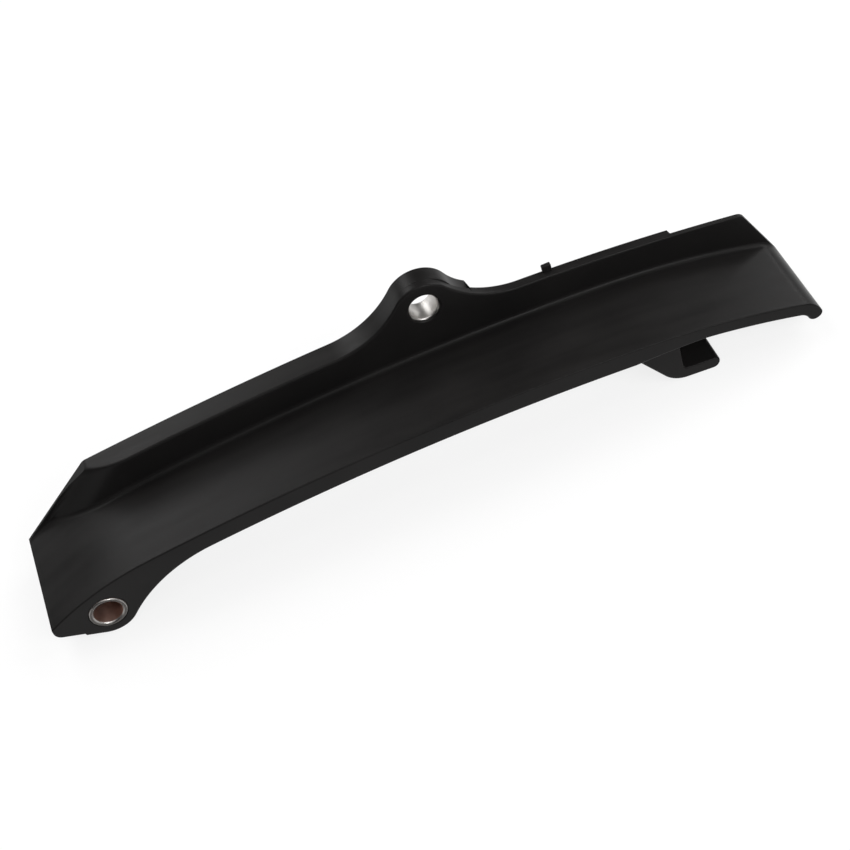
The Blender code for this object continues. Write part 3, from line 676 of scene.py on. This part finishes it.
def seat_form(name, centre, near_y, far_y, mouth_radius, lip):
    """A round plug with chamfered rims, narrower at the near side, where the lip is left."""
    outline = (
        (near_y - CUT_BEYOND, 0.0),
        (near_y - CUT_BEYOND, mouth_radius + SEAT_CHAMFER + CUT_BEYOND),
        (near_y + SEAT_CHAMFER, mouth_radius),
        (near_y + SEAT_CHAMFER + lip, mouth_radius),
        (near_y + SEAT_CHAMFER + lip + LIP_RUN, SEAT_RADIUS),
        (far_y - SEAT_CHAMFER, SEAT_RADIUS),
        (far_y + CUT_BEYOND, SEAT_RADIUS + SEAT_CHAMFER + CUT_BEYOND),
        (far_y + CUT_BEYOND, 0.0),
    )
    return turned(name, outline, centre, SEAT_SIDES, closed=False)


LOWER_HOLE = (0.0, 0.0)
UPPER_HOLE = (UPPER_HOLE_X, UPPER_HOLE_Z)
lower_seat = seat_form("lower_seat_form", LOWER_HOLE, 0.0, BACK_Y, LOWER_MOUTH_RADIUS, LOWER_LIP)
upper_seat = seat_form("upper_seat_form", UPPER_HOLE, RAIL_WIDTH, BACK_Y,
                       UPPER_MOUTH_RADIUS, UPPER_LIP)

# Joined and cut in the order in which they were made
forms = (
    (hook, "UNION"),
    (peg, "UNION"),
    (back_pockets, "DIFFERENCE"),
    (under_pockets, "DIFFERENCE"),
    (lower_seat, "DIFFERENCE"),
    (upper_seat, "DIFFERENCE"),
)
for form, operation in forms:
    joining = guide_rail.modifiers.new(form.name, "BOOLEAN")
    joining.operation = operation
    joining.object = form
    joining.solver = "EXACT"
bpy.context.view_layer.update()
joined_rail = guide_rail.evaluated_get(bpy.context.evaluated_depsgraph_get())
whole = bpy.data.meshes.new_from_object(joined_rail)
guide_rail.modifiers.clear()
guide_rail.data = whole
for form, _ in forms:
    bpy.data.objects.remove(form)

# The frame's own place for the lower hole, from which every size above is measured
SLEEVE_PROUD = 0.0002
RAIL_SHARP_ANGLE = math.radians(32)
sleeve_low, sleeve_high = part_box("lower_sleeve")
to_frame = Matrix.Translation((
    (sleeve_low.x + sleeve_high.x) / 2,
    sleeve_low.y + SLEEVE_PROUD,
    (sleeve_low.z + sleeve_high.z) / 2,
))
whole.transform(to_frame)
whole.shade_smooth()
whole.set_sharp_from_angle(angle=RAIL_SHARP_ANGLE)
flats = guide_rail.modifiers.new("flat_faces_stay_flat", "WEIGHTED_NORMAL")
flats.keep_sharp = True
flats.weight = 60

# Its material: fine drawn lines on the running face, a slight mottle and a few duller scuffs
NYLON_DARK = (0.0064, 0.0061, 0.0062, 1.0)
NYLON_LIGHT = (0.0158, 0.0149, 0.0145, 1.0)
black_plastic = bpy.data.materials.new("moulded_black_nylon")
black_plastic.use_nodes = True
nodes = black_plastic.node_tree.nodes
links = black_plastic.node_tree.links
nylon = nodes["Principled BSDF"]
nylon.inputs["Metallic"].default_value = 0.0
nylon.inputs["Specular IOR Level"].default_value = 0.080
place = nodes.new("ShaderNodeTexCoord")


def noise(scale, detail, roughness, stretch=(1.0, 1.0, 1.0)):
    """A noise pattern on the piece's own coordinates, in metres."""
    mapping = nodes.new("ShaderNodeMapping")
    mapping.inputs["Scale"].default_value = stretch
    links.new(place.outputs["Object"], mapping.inputs["Vector"])
    texture = nodes.new("ShaderNodeTexNoise")
    texture.inputs["Scale"].default_value = scale
    texture.inputs["Detail"].default_value = detail
    texture.inputs["Roughness"].default_value = roughness
    links.new(mapping.outputs["Vector"], texture.inputs["Vector"])
    return texture.outputs["Fac"]


def ranged(value, given, wanted):
    """A value mapped from the given range to the wanted one and kept inside it."""
    node = nodes.new("ShaderNodeMapRange")
    node.inputs["From Min"].default_value, node.inputs["From Max"].default_value = given
    node.inputs["To Min"].default_value, node.inputs["To Max"].default_value = wanted
    links.new(value, node.inputs["Value"])
    return node.outputs["Result"]


def axes_of(vector):
    """The X, Y and Z of a vector."""
    node = nodes.new("ShaderNodeSeparateXYZ")
    links.new(vector, node.inputs["Vector"])
    return node.outputs


def reckon(operation, first, second):
    """One step of arithmetic, with plain numbers or values from other nodes."""
    node = nodes.new("ShaderNodeMath")
    node.operation = operation
    for socket, value in zip(node.inputs, (first, second)):
        if isinstance(value, float):
            socket.default_value = value
        else:
            links.new(value, socket)
    return node.outputs["Value"]


def blend(factor, first, second):
    """A colour between two others, which are plain colours or come from other nodes."""
    node = nodes.new("ShaderNodeMix")
    node.data_type = "RGBA"
    links.new(factor, node.inputs["Factor"])
    for socket, value in ((node.inputs["A"], first), (node.inputs["B"], second)):
        if isinstance(value, tuple):
            socket.default_value = value
        else:
            links.new(value, socket)
    return node.outputs["Result"]


def relief(height, strength, distance):
    """A fine unevenness that follows a height."""
    node = nodes.new("ShaderNodeBump")
    node.inputs["Strength"].default_value = strength
    node.inputs["Distance"].default_value = distance
    links.new(height, node.inputs["Height"])
    return node.outputs["Normal"]


upward = ranged(axes_of(place.outputs["Normal"])["Z"], (0.55, 0.75), (0.0, 1.0))
lines = noise(scale=1.0, detail=6.0, roughness=0.60, stretch=(14.0, 900.0, 120.0))
drawn_lines = reckon("MULTIPLY", lines, upward)
mottle = noise(scale=45.0, detail=5.0, roughness=0.55)
scuffs = noise(scale=1.0, detail=1.5, roughness=0.45, stretch=(38.0, 240.0, 60.0))
skin_grain = noise(scale=2600.0, detail=3.0, roughness=0.60)

tone = reckon("ADD", reckon("MULTIPLY", mottle, 0.6), reckon("MULTIPLY", drawn_lines, 0.2))
tone = reckon("ADD", tone, ranged(scuffs, (0.15, 0.85), (-0.1, 0.45)))
links.new(blend(tone, NYLON_DARK, NYLON_LIGHT), nylon.inputs["Base Color"])

dullness = reckon("ADD", ranged(mottle, (0.3, 0.7), (0.28, 0.34)),
                  ranged(drawn_lines, (0.1, 0.9), (0.0, 0.08)))
dullness = reckon("ADD", dullness, ranged(scuffs, (0.15, 0.85), (-0.06, 0.08)))
links.new(dullness, nylon.inputs["Roughness"])

skin = reckon("ADD", reckon("MULTIPLY", skin_grain, 0.5), reckon("MULTIPLY", drawn_lines, 0.5))
links.new(relief(skin, strength=0.25, distance=0.00004), nylon.inputs["Normal"])

whole.materials.clear()
whole.materials.append(black_plastic)
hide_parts("guide_rail")
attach(guide_rail, "root")


# Two sleeves. Plain steel tubes, turned to length and pressed into the moulding, so that the
# bolts clamp on metal and not on the plastic. The lower one runs right through the boss, the
# upper one starts a little behind the wall's face.
BORE_CHAMFER = 0.00042
OUTER_CHAMFER = 0.00028
CHAMFER_SOFTENING = 0.00005
CHAMFER_EASE_SHARE = 0.7
UPPER_SLEEVE_SET_BACK = 0.0006
SLEEVE_SIDES = 128
SLEEVE_SHARP_ANGLE = math.radians(30)
SLEEVE_FAR_Y = BACK_Y + SLEEVE_PROUD

# Dark and light colour of the bare bore and of its brown part, and the near black of the cut ends,
# which is painted shade
BARE = ((0.46, 0.445, 0.43, 1.0), (0.58, 0.565, 0.545, 1.0))
BROWN = ((0.38, 0.275, 0.240, 1.0), (0.58, 0.420, 0.365, 1.0))
PAINTED_END_SHADE = ((0.060, 0.056, 0.053, 1.0), (0.130, 0.122, 0.116, 1.0))


def steel_sleeve(name, centre, near_y, far_y):
    """A tube with chamfers at its four rims, a little softened, spun round the hole's axis."""
    soft = CHAMFER_SOFTENING
    eased = soft * CHAMFER_EASE_SHARE
    bore = SLEEVE_BORE_RADIUS
    outer = SLEEVE_RADIUS
    outline = []
    for y, away in ((near_y, 1), (far_y, -1)):
        rim = [
            (y + away * (BORE_CHAMFER + soft), bore),
            (y + away * (BORE_CHAMFER - eased), bore + eased),
            (y + away * eased, bore + BORE_CHAMFER - eased),
            (y, bore + BORE_CHAMFER + soft),
            (y, outer - OUTER_CHAMFER - soft),
            (y + away * eased, outer - OUTER_CHAMFER + eased),
            (y + away * (OUTER_CHAMFER - eased), outer - eased),
            (y + away * (OUTER_CHAMFER + soft), outer),
        ]
        outline += rim if away > 0 else rim[::-1]
    sleeve = turned(name, outline, centre, SLEEVE_SIDES, closed=True)
    sleeve.data.transform(to_frame)
    sleeve.data.shade_smooth()
    sleeve.data.set_sharp_from_angle(angle=SLEEVE_SHARP_ANGLE)
    return sleeve


lower_tube = steel_sleeve("lower_steel_sleeve", LOWER_HOLE, -SLEEVE_PROUD, SLEEVE_FAR_Y)
upper_tube = steel_sleeve("upper_steel_sleeve", UPPER_HOLE,
                          RAIL_WIDTH + UPPER_SLEEVE_SET_BACK, SLEEVE_FAR_Y)

steel = bpy.data.materials.new("turned_sleeve_steel")
steel.use_nodes = True
nodes = steel.node_tree.nodes
links = steel.node_tree.links
metal = nodes["Principled BSDF"]
metal.inputs["Metallic"].default_value = 1.0
place = nodes.new("ShaderNodeTexCoord")
blotch = noise(scale=700.0, detail=4.0, roughness=0.6)
lathe_lines = noise(scale=1.0, detail=3.0, roughness=0.6, stretch=(300.0, 9000.0, 300.0))

# The bores are bright metal, the lower one browned in its near half; the cut ends are painted dark
# grey, a painted shade on the same steel
endward = reckon("ABSOLUTE", axes_of(place.outputs["Normal"])["Y"], 0.0)
cut_end = ranged(endward, (0.60, 0.88), (0.0, 1.0))
inside = ranged(endward, (0.25, 0.50), (1.0, 0.0))
near_half = ranged(axes_of(place.outputs["Object"])["Y"], (0.0020, 0.0080), (1.0, 0.0))
browned = reckon("MULTIPLY", near_half, inside)

bore_colour = blend(browned, blend(blotch, *BARE), blend(blotch, *BROWN))
# Painted shade: the cut ends get a near black steel colour
links.new(blend(cut_end, bore_colour, blend(blotch, *PAINTED_END_SHADE)), metal.inputs["Base Color"])
roughness = reckon("ADD", ranged(blotch, (0.3, 0.7), (0.38, 0.48)),
                   reckon("MULTIPLY", cut_end, -0.18))
links.new(roughness, metal.inputs["Roughness"])
links.new(relief(lathe_lines, strength=0.2, distance=0.00002), metal.inputs["Normal"])

for tube, node in ((lower_tube, "lower_sleeve"), (upper_tube, "upper_sleeve")):
    tube.data.materials.append(steel)
    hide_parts(node)
    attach(tube, "root")


# Studio. A pale floor just under the guide that glows a little, like a light table, and large
# soft lights all round in air that is almost dark; none of this is part of the guide.
FLOOR_HALF_SIZE = 30.0
FLOOR_DROP = 0.00005
LIGHT_DISTANCE = 1.2
LIGHT_AIM_HEIGHT = 0.02

bm = bmesh.new()
bmesh.ops.create_grid(bm, x_segments=1, y_segments=1, size=FLOOR_HALF_SIZE,
                      matrix=Matrix.Translation((0.0, 0.0, -FLOOR_DROP)))
floor = moulded_object("floor", bm)
paper = bpy.data.materials.new("pale_paper")
paper.use_nodes = True
sheet = paper.node_tree.nodes["Principled BSDF"]
sheet.inputs["Roughness"].default_value = 0.9
sheet.inputs["Specular IOR Level"].default_value = 0.0
sheet.inputs["Base Color"].default_value = (0.18, 0.18, 0.18, 1.0)
sheet.inputs["Emission Color"].default_value = (1.0, 1.0, 1.0, 1.0)
sheet.inputs["Emission Strength"].default_value = 0.82
floor.data.materials.append(paper)

world = bpy.data.worlds.new("studio_air")
bpy.context.scene.world = world
world.use_nodes = True
air = world.node_tree.nodes["Background"]
air.inputs["Color"].default_value = (0.97, 0.98, 1.0, 1.0)
air.inputs["Strength"].default_value = 0.02


def soft_light(name, turn, rise, width, height, radiance):
    """A soft light that faces the guide, at a turn from straight behind to the right and a rise."""
    data = bpy.data.lights.new(name, "AREA")
    data.shape = "RECTANGLE"
    data.size = width
    data.size_y = height
    data.energy = radiance * math.pi * width * height
    light = bpy.data.objects.new(name, data)
    turn = math.radians(turn)
    rise = math.radians(rise)
    way = Vector((math.sin(turn) * math.cos(rise), math.cos(turn) * math.cos(rise), math.sin(rise)))
    light.location = Vector((0.0, 0.0, LIGHT_AIM_HEIGHT)) + way * LIGHT_DISTANCE
    light.rotation_euler = (-way).to_track_quat("-Z", "Y").to_euler()
    bpy.context.scene.collection.objects.link(light)


soft_light("low_left_behind", -30, 6, 0.60, 0.42, 2.0)
soft_light("left", -62, 38, 0.50, 0.42, 1.5)
soft_light("left_behind", -27, 38, 0.44, 0.42, 2.7)
soft_light("behind", -13, 32, 0.40, 0.36, 4.3)
soft_light("nose_behind", 52, 43, 0.30, 0.36, 4.9)
soft_light("right_behind", 60, 22, 0.60, 0.42, 4.0)
soft_light("right", 90, 36, 0.60, 0.42, 5.6)
soft_light("right_front", 150, 36, 0.60, 0.42, 8.0)
soft_light("high_front", 180, 60, 0.75, 0.75, 1.5)
soft_light("high_left_behind", -45, 60, 0.75, 0.75, 2.6)

# Camera, where the photograph was taken from
camera_data = bpy.data.cameras.new("camera")
camera_data.lens = 79.454
camera_data.sensor_width = 36.0
camera_data.clip_start = 0.01
camera_data.clip_end = 100.0
camera = bpy.data.objects.new("camera", camera_data)
camera.location = to_frame @ Vector((0.072603, -0.3346, 0.374203))
camera.rotation_euler = (math.radians(41.49332), math.radians(13.73379), math.radians(-19.06707))
bpy.context.scene.collection.objects.link(camera)
bpy.context.scene.camera = camera
bpy.context.scene.view_settings.view_transform = "Standard"
